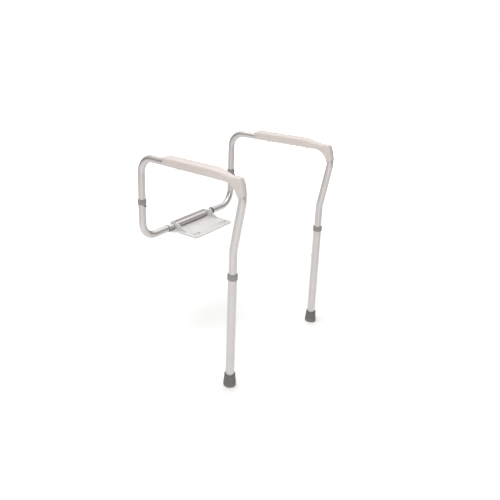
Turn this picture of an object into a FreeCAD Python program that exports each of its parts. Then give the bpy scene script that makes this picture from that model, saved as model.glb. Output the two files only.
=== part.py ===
"""Toilet safety frame: two armrests on telescopic tubes, bolted under the toilet seat.

Millimetres, +Z up. The origin is the middle of the seat bolt pattern, on the ceramic that the
bracket lies on. The user faces -Y; +X is the user's left and -X the user's right.
"""
import FreeCAD, Part
import Sketcher
import math
import os

DOC = FreeCAD.newDocument("toilet_safety_frame")
SHEET = DOC.addObject("Spreadsheet::Sheet", "Dims")
SIDES = (("left", 1), ("right", -1))

# Driving dimensions of the whole frame.
DIMENSIONS = {
    # layout
    "arm_half": 258.5,          # mid-plane to the axis of each rear upright
    "toe_out": 1.72,            # degrees that each arm turns outward in its round rear tube
    "bar_back": 100,            # seat bolts to the crossbar axis
    "bar_up": 15.3,             # ceramic to the crossbar axis
    "leg_ahead": 309,           # seat bolts to the axis of the front legs
    "crank_ahead": 349.5,       # seat bolts to the corner between rail and crank
    "crank_up": 91,             # lower corner of the crank
    "rail_up": 320,             # axis of the arm rail
    "floor_down": 397,          # floor under the feet
    "bend_radius": 60,
    "crank_radius": 120,
    # tubes
    "rail_tube": 25.4,
    "rail_wall": 1.5,
    "leg_tube": 28.6,
    "leg_wall": 1.2,
    "bar_tube": 20,
    "bar_wall": 1.5,
    "insert_tube": 21.8,
    "insert_wall": 1.5,
    # bracket
    "pad_thick": 2,
    "plate_thick": 3,
    "plate_rear_half": 128.5,
    "plate_front_half": 110,
    "plate_back": 115,
    "plate_front": 24,
    "kink_back": 90,
    "kink_front": 66,
    "flange_half": 98,
    "flange_high": 24,
    "flange_front": 40,
    "slot_centre": 77.5,
    "slot_long": 35,
    "slot_wide": 10,
    "rivet_pitch": 56,
    # rear tubes
    "mouth_out": 133,
    "bush_flange": 2.7,
    "bush_long": 8,
    "bar_half": 186,
    "bar_button_out": 175,
    "width_pitch": 15,
    "rear_collar_top": 165.5,
    "rear_collar_high": 18,
    "rear_collar_wide": 30,
    "collar_lip": 3,
    "lock_up": 142,
    "lock_pitch": 8,
    "lock_pin_wide": 4,
    "insert_foot": 87,
    "insert_head": 214,
    "insert_rivet_up": 194,
    "rivet_hole": 4.2,
    # armrest
    "rest_wide": 42,
    "rest_top": 20,
    "rest_skirt": 6,
    "rest_rear": 22,
    "rest_wall": 3,
    "ramp_long": 54,            # slope from the flat top down to the nose
    "nose_wide": 28.8,
    "nose_top": 10.5,
    "nose_deep": 49,
    "nose_front": 16,           # corner of the rail back to the top of the nose's front face
    "nose_front_low": 0.2,      # the same at the foot of that face
    "nose_front_down": 40,      # rail axis to the foot of that face
    "nose_root": 36,            # length of the nose's underside
    "sleeve_lap": 20,           # the sleeve begins this far behind the nose
    "channel_start": 20,        # the channel for the rail begins this far behind the seat bolts
    "channel_deep": 26,
    "rib_pitch": 55,
    "rib_thick": 8,
    "screw_wide": 4,
    # front legs
    "front_collar_top": 12.2,
    "front_collar_high": 19,
    "front_collar_wide": 33,
    "arm_foot_down": 141,
    "front_button_down": 116,
    "leg_pitch": 25,
    "button_wide": 6,
    "foot_high": 43,
    "foot_base_wide": 42.5,
    "foot_top_wide": 37,
    "foot_floor": 8,
    "washer_thick": 2,
    # fits
    "running_gap": 0.05,
    "stop_gap": 0.3,
    "hole_gap": 0.3,
    "toe_gap": 0.7,             # play round the lock pin that lets an arm turn outward
}


class Size:
    """A length that carries both its number and the sheet expression that gives it."""

    def __init__(self, value, text=None):
        self.value = float(value)
        self.text = text if text is not None else "(%s)" % repr(float(value))

    def _with(self, other, sign, value):
        return Size(value, "(%s %s %s)" % (self.text, sign, size(other).text))

    def __add__(self, other):
        return self._with(other, "+", self.value + size(other).value)

    def __sub__(self, other):
        return self._with(other, "-", self.value - size(other).value)

    def __mul__(self, other):
        return self._with(other, "*", self.value * size(other).value)

    def __truediv__(self, other):
        return self._with(other, "/", self.value / size(other).value)

    def __neg__(self):
        return self * -1


def size(number):
    return number if isinstance(number, Size) else Size(number)


def fill_sheet():
    """Put each driving dimension in the sheet and give it back as a Size."""
    sizes = {}
    for row, (alias, number) in enumerate(DIMENSIONS.items(), start=1):
        cell = "B%d" % row
        SHEET.set("A%d" % row, alias)
        SHEET.set(cell, str(number))
        SHEET.setAlias(cell, alias)
        sizes[alias] = Size(number, "Dims.%s" % alias)
    DOC.recompute()
    return type("Sizes", (), sizes)


D = fill_sheet()


# ---------------------------------------------------------------- sketches and features

def new_body(label):
    body = DOC.addObject("PartDesign::Body", label)
    body.Label = label
    return body


def origin_plane(body, role):
    return next(item for item in body.Origin.OriginFeatures if item.Role == role)


def new_sketch(body, role, at=(0, 0, 0)):
    """A sketch on one of the body's own planes, its origin moved by at along its own axes."""
    sketch = body.newObject("Sketcher::SketchObject", body.Name + "_sketch")
    sketch.AttachmentSupport = [(origin_plane(body, role), "")]
    sketch.MapMode = "FlatFace"
    for axis, distance in zip("xyz", at):
        sketch.setExpression("AttachmentOffset.Base." + axis, size(distance).text)
    return sketch


def bind(sketch, kind, *where_and_size):
    """Add a dimension to a sketch and tie it to its expression."""
    *where, length = where_and_size
    number = sketch.addConstraint(Sketcher.Constraint(kind, *where, size(length).value))
    sketch.setExpression("Constraints[%d]" % number, size(length).text)


def pin_point(sketch, item, end, across, along):
    bind(sketch, "DistanceX", -1, 1, item, end, across)
    bind(sketch, "DistanceY", -1, 1, item, end, along)


def add_circle(sketch, across, along, diameter):
    centre = FreeCAD.Vector(size(across).value, size(along).value, 0)
    circle = Part.Circle(centre, FreeCAD.Vector(0, 0, 1), size(diameter).value / 2)
    item = sketch.addGeometry(circle, False)
    pin_point(sketch, item, 3, across, along)
    bind(sketch, "Diameter", item, diameter)


def add_slot(sketch, across, along, long, wide):
    """A round-ended slot that runs along the sketch's first axis."""
    half = (long - wide) / 2
    radius = wide.value / 2
    x, y, reach = across.value, size(along).value, half.value
    up = FreeCAD.Vector(0, 0, 1)
    right = Part.Circle(FreeCAD.Vector(x + reach, y, 0), up, radius)
    left = Part.Circle(FreeCAD.Vector(x - reach, y, 0), up, radius)
    first = sketch.addGeometry(Part.ArcOfCircle(right, -math.pi / 2, math.pi / 2), False)
    corners = [FreeCAD.Vector(x + reach * end, y + radius * edge, 0)
               for end, edge in ((1, 1), (-1, 1), (-1, -1), (1, -1))]
    second = sketch.addGeometry(Part.LineSegment(corners[0], corners[1]), False)
    third = sketch.addGeometry(Part.ArcOfCircle(left, math.pi / 2, 3 * math.pi / 2), False)
    fourth = sketch.addGeometry(Part.LineSegment(corners[2], corners[3]), False)
    for item, after in ((first, second), (second, third), (third, fourth), (fourth, first)):
        sketch.addConstraint(Sketcher.Constraint("Tangent", item, 2, after, 1))
    pin_point(sketch, first, 3, across + half, along)
    bind(sketch, "DistanceX", -1, 1, third, 3, across - half)
    bind(sketch, "Diameter", first, wide)


def add_outline(sketch, corners, rounds=None, closed=True):
    """Straight runs between corners, with a tangent arc of rounds[i] at corner i."""
    rounds = rounds or {}
    corners = [(size(across), size(along)) for across, along in corners]
    points = [FreeCAD.Vector(across.value, along.value, 0) for across, along in corners]
    count = len(points)
    starts = list(points)
    ends = list(points)
    arcs = {}
    for i, radius in rounds.items():
        radius = size(radius)
        back = (points[i - 1] - points[i]).normalize()
        ahead = (points[(i + 1) % count] - points[i]).normalize()
        half_angle = back.getAngle(ahead) / 2
        reach = radius.value / math.tan(half_angle)
        ends[i] = points[i] + back * reach
        starts[i] = points[i] + ahead * reach
        centre = points[i] + (back + ahead).normalize() * (radius.value / math.sin(half_angle))
        turns_left = (-back).cross(ahead).z > 0
        first, last = (ends[i], starts[i]) if turns_left else (starts[i], ends[i])
        angles = [math.atan2(point.y - centre.y, point.x - centre.x) for point in (first, last)]
        if angles[1] < angles[0]:
            angles[1] += 2 * math.pi
        circle = Part.Circle(centre, FreeCAD.Vector(0, 0, 1), radius.value)
        arcs[i] = (Part.ArcOfCircle(circle, *angles), turns_left, radius)
    runs = range(count) if closed else range(count - 1)
    lines = {}
    for i in runs:
        lines[i] = sketch.addGeometry(Part.LineSegment(starts[i], ends[(i + 1) % count]), False)
    for i, (across, along) in enumerate(corners):
        before = lines.get((i - 1) % count) if closed or i > 0 else None
        after = lines.get(i)
        if i in arcs:
            arc, turns_left, radius = arcs[i]
            item = sketch.addGeometry(arc, False)
            corner = sketch.addGeometry(Part.Point(points[i]), True)
            entry, leave = (1, 2) if turns_left else (2, 1)
            sketch.addConstraint(Sketcher.Constraint("Tangent", before, 2, item, entry))
            sketch.addConstraint(Sketcher.Constraint("Tangent", item, leave, after, 1))
            bind(sketch, "Radius", item, radius)
            pin_point(sketch, corner, 1, across, along)
            sketch.addConstraint(Sketcher.Constraint("PointOnObject", corner, 1, before))
            sketch.addConstraint(Sketcher.Constraint("PointOnObject", corner, 1, after))
        elif before is None:
            pin_point(sketch, after, 1, across, along)
        elif after is None:
            pin_point(sketch, before, 2, across, along)
        else:
            sketch.addConstraint(Sketcher.Constraint("Coincident", before, 2, after, 1))
            pin_point(sketch, after, 1, across, along)


def pad(body, sketch, length, reverse=False):
    feature = body.newObject("PartDesign::Pad", body.Name + "_pad")
    feature.Profile = sketch
    feature.setExpression("Length", size(length).text)
    feature.Reversed = reverse
    return feature


def pocket(body, sketch, length, reverse=False):
    """Cut a sketch into the body, against the sketch's normal, or along it when reversed."""
    DOC.recompute()
    before = body.Shape.Volume
    feature = body.newObject("PartDesign::Pocket", body.Name + "_pocket")
    feature.Profile = sketch
    feature.setExpression("Length", size(length).text)
    feature.Reversed = reverse
    DOC.recompute()
    if body.Shape.Volume > before - 0.01:
        raise RuntimeError("a pocket in %s cuts nothing" % body.Label)
    return feature


def revolve(body, sketch, axis):
    feature = body.newObject("PartDesign::Revolution", body.Name + "_revolution")
    feature.Profile = sketch
    feature.ReferenceAxis = (sketch, [axis])
    return feature


def pattern(body, feature, axis_role, length, count, reverse=False):
    axis = next(item for item in body.Origin.OriginFeatures if item.Role == axis_role)
    repeat = body.newObject("PartDesign::LinearPattern", body.Name + "_pattern")
    repeat.Originals = [feature]
    repeat.Direction = (axis, [""])
    repeat.setExpression("Length", size(length).text)
    repeat.Occurrences = count
    repeat.Reversed = reverse
    body.Tip = repeat
    return repeat


def turned(label, role, at, axis, profile, rounds=None):
    """A body of revolution from a closed profile."""
    body = new_body(label)
    sketch = new_sketch(body, role, at)
    add_outline(sketch, profile, rounds)
    revolve(body, sketch, axis)
    return body


def turned_upright(label, across, back, profile, rounds=None):
    """Profile points are (radius, height) round the vertical line at x = across, y = back."""
    return turned(label, "XZ_Plane", (across, 0, -back), "V_Axis", profile, rounds)


def turned_sideways(label, side, profile, rounds=None):
    """Profile points are (distance from the mid-plane, radius) round the crossbar axis."""
    points = [(size(out) * side, radius) for out, radius in profile]
    return turned(label, "XZ_Plane", (0, D.bar_up, -D.bar_back), "H_Axis", points, rounds)


def turned_depthwise(label, across, back, up, profile, rounds=None):
    """Profile points are (radius, distance along +Y) round a line through (across, back, up)."""
    return turned(label, "XY_Plane", (across, back, up), "V_Axis", profile, rounds)


def ring_pad(label, role, at, outer, inner, length):
    body = new_body(label)
    sketch = new_sketch(body, role, at)
    add_circle(sketch, 0, 0, outer)
    add_circle(sketch, 0, 0, inner)
    pad(body, sketch, length)
    return body


def bent_tube(label, path_role, path_at, corners, rounds, mouth_role, mouth_at, outer, wall):
    """A tube swept along straight runs and tangent bends."""
    body = new_body(label)
    path = new_sketch(body, path_role, path_at)
    add_outline(path, corners, rounds, closed=False)
    mouth = new_sketch(body, mouth_role, mouth_at)
    add_circle(mouth, 0, 0, outer)
    add_circle(mouth, 0, 0, outer - wall * 2)
    DOC.recompute()
    pipe = body.newObject("PartDesign::AdditivePipe", body.Name + "_pipe")
    pipe.Profile = mouth
    pipe.Spine = (path, ["Edge%d" % number for number in range(1, len(path.Shape.Edges) + 1)])
    return body


def cross_holes(body, back, centres, diameter, depth, to_rear):
    """Round holes along Y from the plane y = back, on the rear or the front side only."""
    sketch = new_sketch(body, "XZ_Plane", (0, 0, -back))
    for across, up in centres:
        add_circle(sketch, across, up, diameter)
    return pocket(body, sketch, depth, reverse=not to_rear)


def upright_holes(body, up, centres, diameter, depth, to_top):
    """Round holes along Z from the plane z = up."""
    sketch = new_sketch(body, "XY_Plane", (0, 0, up))
    for across, along in centres:
        add_circle(sketch, across, along, diameter)
    return pocket(body, sketch, depth, reverse=to_top)


# ---------------------------------------------------------------- bracket and crossbar

def plate_top():
    return D.pad_thick + D.plate_thick


def rivet_places():
    return [(D.rivet_pitch * step, D.bar_back) for step in (-1.5, -0.5, 0.5, 1.5)]


def mounting_bracket():
    body = new_body("mounting_bracket")
    plate = new_sketch(body, "XY_Plane", (0, 0, D.pad_thick))
    right_edge = [(D.plate_rear_half, D.plate_back), (D.plate_rear_half, D.kink_back),
                  (D.plate_front_half, D.kink_front), (D.plate_front_half, -D.plate_front)]
    left_edge = [(-across, along) for across, along in reversed(right_edge)]
    add_outline(plate, right_edge + left_edge, {3: 14, 4: 14})
    pad(body, plate, D.plate_thick)

    wall = D.plate_thick
    flange = new_sketch(body, "XY_Plane", (0, 0, plate_top()))
    outer = [(D.flange_half, D.flange_front), (D.flange_half, D.plate_back)]
    inner = [(D.flange_half - wall, D.plate_back - wall), (D.flange_half - wall, D.flange_front)]
    mirrored_outer = [(-across, along) for across, along in reversed(outer)]
    mirrored_inner = [(-across, along) for across, along in reversed(inner)]
    add_outline(flange, outer + mirrored_outer + mirrored_inner + inner)
    pad(body, flange, D.flange_high)

    reach = D.plate_rear_half + 10
    taper = new_sketch(body, "YZ_Plane", (0, 0, -reach))
    top = plate_top() + D.flange_high
    add_outline(taper, [(D.flange_front - 1, plate_top() + 4), (D.bar_back - 21, top + 1),
                        (D.flange_front - 1, top + 1)])
    pocket(body, taper, reach * 2, reverse=True)
    bar_hole = new_sketch(body, "YZ_Plane", (0, 0, -reach))
    add_circle(bar_hole, D.bar_back, D.bar_up, D.bar_tube + D.running_gap * 2)
    pocket(body, bar_hole, reach * 2, reverse=True)
    slots = new_sketch(body, "XY_Plane", (0, 0, plate_top()))
    for side in (1, -1):
        add_slot(slots, D.slot_centre * side, 0, D.slot_long, D.slot_wide)
    pocket(body, slots, D.plate_thick)
    upright_holes(body, plate_top(), rivet_places(), 5, D.plate_thick, to_top=False)
    return body


def bracket_pad():
    body = new_body("bracket_pad")
    sketch = new_sketch(body, "XY_Plane")
    half = D.plate_front_half - 2
    back = D.bar_back - 35
    front = -D.plate_front + 2
    add_outline(sketch, [(half, back), (half, front), (-half, front), (-half, back)],
                {0: 6, 1: 12, 2: 12, 3: 6})
    pad(body, sketch, D.pad_thick)
    slots = new_sketch(body, "XY_Plane", (0, 0, D.pad_thick))
    for side in (1, -1):
        add_slot(slots, D.slot_centre * side, 0, D.slot_long + 2, D.slot_wide + 2)
    pocket(body, slots, D.pad_thick)
    return body


def crossbar():
    body = ring_pad("crossbar", "YZ_Plane", (D.bar_back, D.bar_up, -D.bar_half),
                    D.bar_tube, D.bar_tube - D.bar_wall * 2, D.bar_half * 2)
    buttons = [(D.bar_button_out * side, D.bar_up) for side in (1, -1)]
    hole = D.button_wide + D.running_gap * 2
    cross_holes(body, D.bar_back, buttons, hole, D.bar_tube, to_rear=True)
    upright_holes(body, D.bar_up, rivet_places(), 5, D.bar_tube, to_top=False)
    return body


def crossbar_rivets():
    """Blind rivets from under the plate into the crossbar."""
    body = new_body("crossbar_rivets")
    body.AllowCompound = True
    inside = D.bar_up - D.bar_tube / 2 + D.bar_wall + 0.8
    sketch = new_sketch(body, "XZ_Plane", (-D.rivet_pitch * 1.5, 0, -D.bar_back))
    add_outline(sketch, [(0, 0.6), (4.2, 0.6), (4.6, D.pad_thick), (2.4, D.pad_thick), (2.4, inside),
                         (3.4, inside), (2.9, inside + 3), (0, inside + 3)])
    shank = revolve(body, sketch, "V_Axis")
    pattern(body, shank, "X_Axis", D.rivet_pitch * 3, 4)
    return body


def crossbar_glide(name, side):
    """Nylon plug in the crossbar's end; its head guides the bar inside the rear tube."""
    core = D.bar_tube / 2 - D.bar_wall - D.running_gap
    head = D.rail_tube / 2 - D.rail_wall - 0.07
    start = D.bar_half - 5.5
    end = D.bar_half + 4
    return turned_sideways("crossbar_glide_" + name, side,
                           [(start, 0), (start, core), (D.bar_half, core), (D.bar_half, head),
                            (end, head), (end, 0)], {4: 1})


# ---------------------------------------------------------------- rear tubes

def rear_tube_top():
    return D.rear_collar_top - D.collar_lip


def rear_tube(name, side):
    axis = D.arm_half * side
    corners = [(D.mouth_out * side, D.bar_up), (axis, D.bar_up), (axis, rear_tube_top())]
    body = bent_tube("rear_tube_" + name, "XZ_Plane", (0, 0, -D.bar_back), corners,
                     {1: D.bend_radius}, "YZ_Plane", (D.bar_back, D.bar_up, D.mouth_out * side),
                     D.rail_tube, D.rail_wall)
    holes = [((D.bar_button_out - D.width_pitch * step) * side, D.bar_up) for step in range(3)]
    wide = D.button_wide + D.hole_gap * 2
    cross_holes(body, D.bar_back, holes, wide, D.rail_tube, to_rear=True)
    pin_hole = D.lock_pin_wide + D.toe_gap * 2
    cross_holes(body, D.bar_back, [(axis, D.lock_up)], pin_hole, D.rail_tube, to_rear=False)
    return body


def rear_tube_bush(name, side):
    """Flanged bush in the mouth of the rear tube, running on the crossbar."""
    bore = D.bar_tube / 2 + D.running_gap
    barrel = D.rail_tube / 2 - D.rail_wall - D.running_gap
    rim = D.rail_tube / 2 + 0.9
    outside = D.mouth_out - D.bush_flange
    inside = D.mouth_out + D.bush_long
    return turned_sideways("rear_tube_bush_" + name, side,
                           [(outside, bore), (outside, rim), (D.mouth_out, rim), (D.mouth_out, barrel),
                            (inside, barrel), (inside, bore)], {1: 0.8})


def collar(label, side, back, top, high, outer, sleeve, bore):
    """A moulded collar: a sleeve over the outer tube and a lip that closes on the inner one."""
    wide = outer / 2
    foot = top - high
    shoulder = top - D.collar_lip
    profile = [(sleeve / 2, foot), (wide - 0.6, foot), (wide, foot + 3), (wide, top),
               (bore / 2, top), (bore / 2, shoulder), (sleeve / 2, shoulder)]
    return turned_upright(label, D.arm_half * side, back, profile, {3: 1.6})


def rear_collar(name, side):
    return collar("rear_collar_" + name, side, D.bar_back, D.rear_collar_top, D.rear_collar_high,
                  D.rear_collar_wide, D.rail_tube, D.insert_tube + D.running_gap * 2)


def lock_clip(name, side):
    """An open spring band round the tube that carries the lock pin."""
    band = D.rail_tube / 2 + 0.9
    high = size(9)
    axis = D.arm_half * side
    gap_half = 8
    body = ring_pad("rear_lock_clip_" + name, "XY_Plane", (axis, D.bar_back, D.lock_up - high / 2),
                    band * 2, D.rail_tube + 0.1, high)
    gap = new_sketch(body, "XY_Plane", (axis, D.bar_back, D.lock_up + high / 2))
    add_outline(gap, [(gap_half, 0), (gap_half, band + 2), (-gap_half, band + 2), (-gap_half, 0)])
    pocket(body, gap, high)
    hole = D.lock_pin_wide + D.hole_gap * 2
    cross_holes(body, D.bar_back, [(axis, D.lock_up)], hole, D.rail_tube, to_rear=False)
    return body


def lock_pin(name, side):
    """A pull pin: its shank locks the inner tube, and its head is pulled to the front."""
    shank = D.lock_pin_wide / 2
    tip = D.insert_tube / 2 - D.insert_wall - 0.6
    seat = D.rail_tube / 2 + 1.3
    grip = seat + 5.5
    return turned_depthwise("rear_lock_pin_" + name, D.arm_half * side, D.bar_back, D.lock_up,
                            [(0, -tip), (0, -grip), (4.5, -grip), (4.5, -(grip - 1.6)),
                             (3.6, -(seat + 2)), (4.3, -seat), (shank, -seat), (shank, -tip)], {2: 1.2})


def snap_button(label, across, back, up, wall_inside, outside):
    """A domed pin on a disc: the disc bears on the inside of the inner tube's wall."""
    pin = D.button_wide / 2
    disc = size(3.6)
    return turned_depthwise(label, across, back, up,
                            [(0, wall_inside - 1), (disc, wall_inside - 1), (disc, wall_inside),
                             (pin, wall_inside), (pin, outside), (0, outside)], {4: 1.6})


def width_snap_clip(name, side):
    """A strip spring bent into a U inside the crossbar, with a domed button on one leg."""
    body = new_body("width_snap_clip_" + name)
    strip = size(6.6)
    sketch = new_sketch(body, "XY_Plane", (0, D.bar_back, D.bar_up - strip / 2))
    press = D.bar_tube / 2 - D.bar_wall - 1
    rest = -(D.bar_tube / 2 - D.bar_wall - 0.9)
    tip = D.bar_button_out + 3.4
    bend = D.bar_button_out - 34
    add_outline(sketch, spring_outline(side, tip, bend, press, rest), {1: 4, 2: 4, 5: 3.4, 6: 3.4})
    pad(body, sketch, strip)
    button = new_sketch(body, "XY_Plane", (D.bar_button_out * side, D.bar_back, D.bar_up))
    foot = press - 0.4
    top = D.rail_tube / 2 + 2.8
    pin = D.button_wide / 2
    add_outline(button, [(0, foot), (pin, foot), (pin, top), (0, top)], {2: 1.6})
    revolve(body, button, "V_Axis")
    return body


def spring_outline(side, tip, bend, press, rest):
    """Outline of a U of thin strip: two legs along the tube and a bend at one end."""
    strip = 0.6
    outer = [(tip, press), (bend, press), (bend, rest), (tip, rest)]
    inner = [(tip, rest + strip), (bend + strip, rest + strip), (bend + strip, press - strip),
             (tip, press - strip)]
    return [(size(out) * side, off) for out, off in outer + inner]


# ---------------------------------------------------------------- arms

def arm_path():
    """Centre line of the arm tube as (y, z) corners, from its rear foot to its front foot."""
    return [(D.bar_back, D.rear_collar_top + D.stop_gap), (D.bar_back, D.rail_up),
            (-D.crank_ahead, D.rail_up), (-D.leg_ahead, D.crank_up), (-D.leg_ahead, -D.arm_foot_down)]


def arm_tube(name, side):
    axis = D.arm_half * side
    corners = arm_path()
    body = bent_tube("arm_tube_" + name, "YZ_Plane", (0, 0, axis), corners,
                     {1: D.bend_radius, 2: D.bend_radius, 3: D.crank_radius},
                     "XY_Plane", (axis, D.bar_back, corners[0][1]), D.rail_tube, D.rail_wall)
    button = [(axis, -D.front_button_down)]
    button_hole = D.button_wide + D.running_gap * 2
    cross_holes(body, -D.leg_ahead, button, button_hole, D.rail_tube, to_rear=True)
    cross_holes(body, D.bar_back, [(axis, D.insert_rivet_up)], D.rivet_hole, D.rail_tube, to_rear=True)
    screws = [(axis, along) for along in screw_places()]
    under = D.rail_up - D.rail_tube
    upright_holes(body, under, screws, D.screw_wide + 0.2, D.rail_tube * 2, to_top=True)
    return body


def arm_insert(name, side):
    """Inner tube that joins the rear upright to the rear tube, with the height holes."""
    axis = D.arm_half * side
    body = ring_pad("arm_insert_" + name, "XY_Plane", (axis, D.bar_back, D.insert_foot),
                    D.insert_tube, D.insert_tube - D.insert_wall * 2, D.insert_head - D.insert_foot)
    locks = [(axis, D.lock_up - D.lock_pitch * step) for step in range(7)]
    hole = D.lock_pin_wide + D.running_gap * 2
    cross_holes(body, D.bar_back, locks, hole, D.insert_tube, to_rear=False)
    cross_holes(body, D.bar_back, [(axis, D.insert_rivet_up)], D.rivet_hole, D.insert_tube, to_rear=True)
    return body


def insert_rivet(name, side):
    outside = D.rail_tube / 2 + 0.05
    inside = D.insert_tube / 2 - D.insert_wall - 0.6
    return turned_depthwise("insert_rivet_" + name, D.arm_half * side, D.bar_back, D.insert_rivet_up,
                            [(0, inside - 2.4), (2.4, inside - 2.4), (2.8, inside), (2, inside),
                             (2, outside), (3.8, outside), (3.2, outside + 1.2), (0, outside + 1.4)])


def rib_places():
    """Middle of each cross rib under the armrest, from the rear."""
    return [-D.rib_pitch * step - D.rest_rear for step in range(1, 5)]


def screw_places():
    ribs = rib_places()
    return [ribs[0], ribs[3]]


def armrest(name, side):
    """Moulded cover: a ribbed channel over the rail and a squared nose round the front bend."""
    body = new_body("armrest_" + name)
    axis = D.arm_half * side
    top = D.rail_up + D.rest_top
    skirt = D.rail_up - D.rest_skirt
    corner = -D.crank_ahead
    ramp_foot = corner + D.bend_radius
    ramp_head = ramp_foot + D.ramp_long
    channel = new_sketch(body, "YZ_Plane", (0, 0, axis - D.rest_wide / 2))
    add_outline(channel, [(-D.rest_rear, skirt), (-D.rest_rear, top), (ramp_head, top),
                          (ramp_foot, D.rail_up + D.nose_top), (ramp_foot, skirt)],
                {1: 6, 2: 30})
    pad(body, channel, D.rest_wide)
    sleeve_start = ramp_foot + D.sleeve_lap
    sleeve = new_sketch(body, "XZ_Plane", (axis, D.rail_up, -sleeve_start))
    add_circle(sleeve, 0, 0, D.nose_wide)
    bend = new_sketch(body, "YZ_Plane", (0, 0, axis))
    add_outline(bend, [(sleeve_start, D.rail_up)] + arm_path()[2:4], {1: D.bend_radius}, closed=False)
    DOC.recompute()
    shell = body.newObject("PartDesign::AdditivePipe", body.Name + "_sleeve")
    shell.Profile = sleeve
    shell.Spine = (bend, ["Edge1", "Edge2", "Edge3"])
    gusset_wide = D.nose_wide - 4
    nose_low = D.rail_up - D.nose_front_down
    front_low = corner + D.nose_front_low
    gusset = new_sketch(body, "YZ_Plane", (0, 0, axis - gusset_wide / 2))
    add_outline(gusset, [(ramp_foot, D.rail_up), (ramp_foot, D.rail_up + D.nose_top),
                         (corner + D.nose_front, D.rail_up + D.nose_top), (front_low, nose_low),
                         (front_low + D.nose_root, nose_low)], {2: 8})
    pad(body, gusset, gusset_wide)
    below = new_sketch(body, "YZ_Plane", (0, 0, axis - D.nose_wide))
    foot = D.rail_up - D.nose_deep
    clear_ahead = corner - D.nose_wide
    clear_below = D.crank_up - D.nose_wide
    add_outline(below, [(clear_ahead, foot), (ramp_foot, foot), (ramp_foot, clear_below),
                        (clear_ahead, clear_below)])
    pocket(body, below, D.nose_wide * 2, reverse=True)

    path = new_sketch(body, "YZ_Plane", (0, 0, axis))
    add_outline(path, [(D.channel_start, D.rail_up)] + arm_path()[2:4], {1: D.bend_radius}, closed=False)
    half = D.rail_tube / 2 + D.running_gap
    groove = new_sketch(body, "XZ_Plane", (axis, D.rail_up, -D.channel_start))
    deep = -D.channel_deep
    add_outline(groove, [(half, deep), (half, half), (-half, half), (-half, deep)],
                {1: half - 0.05, 2: half - 0.05})
    DOC.recompute()
    channel_cut = body.newObject("PartDesign::SubtractivePipe", body.Name + "_channel")
    channel_cut.Profile = groove
    channel_cut.Spine = (path, ["Edge1", "Edge2", "Edge3"])

    cell = new_sketch(body, "XY_Plane", (axis, 0, skirt))
    half_cell = D.rest_wide / 2 - D.rest_wall
    rear = -D.rest_rear - D.rib_thick / 2
    ahead = rear - D.rib_pitch + D.rib_thick
    add_outline(cell, [(half_cell, rear), (half_cell, ahead), (-half_cell, ahead), (-half_cell, rear)])
    cut = pocket(body, cell, D.rest_skirt + D.rail_tube / 2 + 0.5, reverse=True)
    pattern(body, cut, "Y_Axis", D.rib_pitch * 3, 4, reverse=True)
    bores = [(axis, along) for along in screw_places()]
    upright_holes(body, D.rail_up, bores, D.screw_wide + 0.1, D.rest_top - 3, to_top=True)
    return body


def armrest_screws(name, side):
    """Two screws from under the rail, through the tube and into the armrest's ribs."""
    body = new_body("armrest_screws_" + name)
    body.AllowCompound = True
    below = D.rail_up - D.rail_tube / 2
    first, last = screw_places()
    sketch = new_sketch(body, "XZ_Plane", (D.arm_half * side, 0, -first))
    core = D.screw_wide / 2
    add_outline(sketch, [(0, below - 2.6), (2.8, below - 2.6), (4, below - 0.2), (core, below - 0.2),
                         (core, D.rail_up + 15), (0, D.rail_up + 16.5)])
    screw = revolve(body, sketch, "V_Axis")
    pattern(body, screw, "Y_Axis", first - last, 2, reverse=True)
    return body


def leg_glide(name, side):
    """Nylon plug in the arm tube's foot, running inside the front leg."""
    foot = -D.arm_foot_down
    core = D.rail_tube / 2 - D.rail_wall - D.running_gap
    head = D.leg_tube / 2 - D.leg_wall - 0.07
    return turned_upright("leg_glide_" + name, D.arm_half * side, -D.leg_ahead,
                          [(0, foot - 4), (head, foot - 4), (head, foot), (core, foot),
                           (core, foot + 12), (0, foot + 12)], {1: 1})


def front_button(name, side):
    wall_inside = D.rail_tube / 2 - D.rail_wall - 0.8
    return snap_button("front_button_" + name, D.arm_half * side, -D.leg_ahead, -D.front_button_down,
                       wall_inside, D.leg_tube / 2 + 3)


def front_spring(name, side):
    """A strip spring bent into a U inside the arm tube, pressing the leg button out."""
    body = new_body("front_spring_" + name)
    strip = size(8)
    sketch = new_sketch(body, "YZ_Plane", (-D.leg_ahead, 0, D.arm_half * side - strip / 2))
    press = D.rail_tube / 2 - D.rail_wall - 1.9
    rest = -(D.rail_tube / 2 - D.rail_wall - 1)
    tip = -D.front_button_down - 5
    bend = -D.front_button_down + 42
    strip_thick = 0.6
    inner_rest, inner_press, inner_bend = rest + strip_thick, press - strip_thick, bend - strip_thick
    add_outline(sketch, [(press, tip), (press, bend), (rest, bend), (rest, tip),
                         (inner_rest, tip), (inner_rest, inner_bend), (inner_press, inner_bend),
                         (inner_press, tip)], {1: 6, 2: 6, 5: 5.4, 6: 5.4})
    pad(body, sketch, strip)
    return body


# ---------------------------------------------------------------- front legs

def leg_foot():
    return -D.floor_down + D.foot_floor + D.washer_thick


def front_leg(name, side):
    axis = D.arm_half * side
    top = D.front_collar_top - D.collar_lip
    body = ring_pad("front_leg_" + name, "XY_Plane", (axis, -D.leg_ahead, leg_foot()),
                    D.leg_tube, D.leg_tube - D.leg_wall * 2, top - leg_foot())
    heights = [-D.front_button_down + D.leg_pitch * step for step in range(-2, 5)]
    holes = [(axis, up) for up in heights]
    cross_holes(body, -D.leg_ahead, holes, D.button_wide + D.hole_gap * 2, D.leg_tube, to_rear=True)
    return body


def front_collar(name, side):
    return collar("front_collar_" + name, side, -D.leg_ahead, D.front_collar_top, D.front_collar_high,
                  D.front_collar_wide, D.leg_tube, D.rail_tube + D.running_gap * 2)


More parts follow.
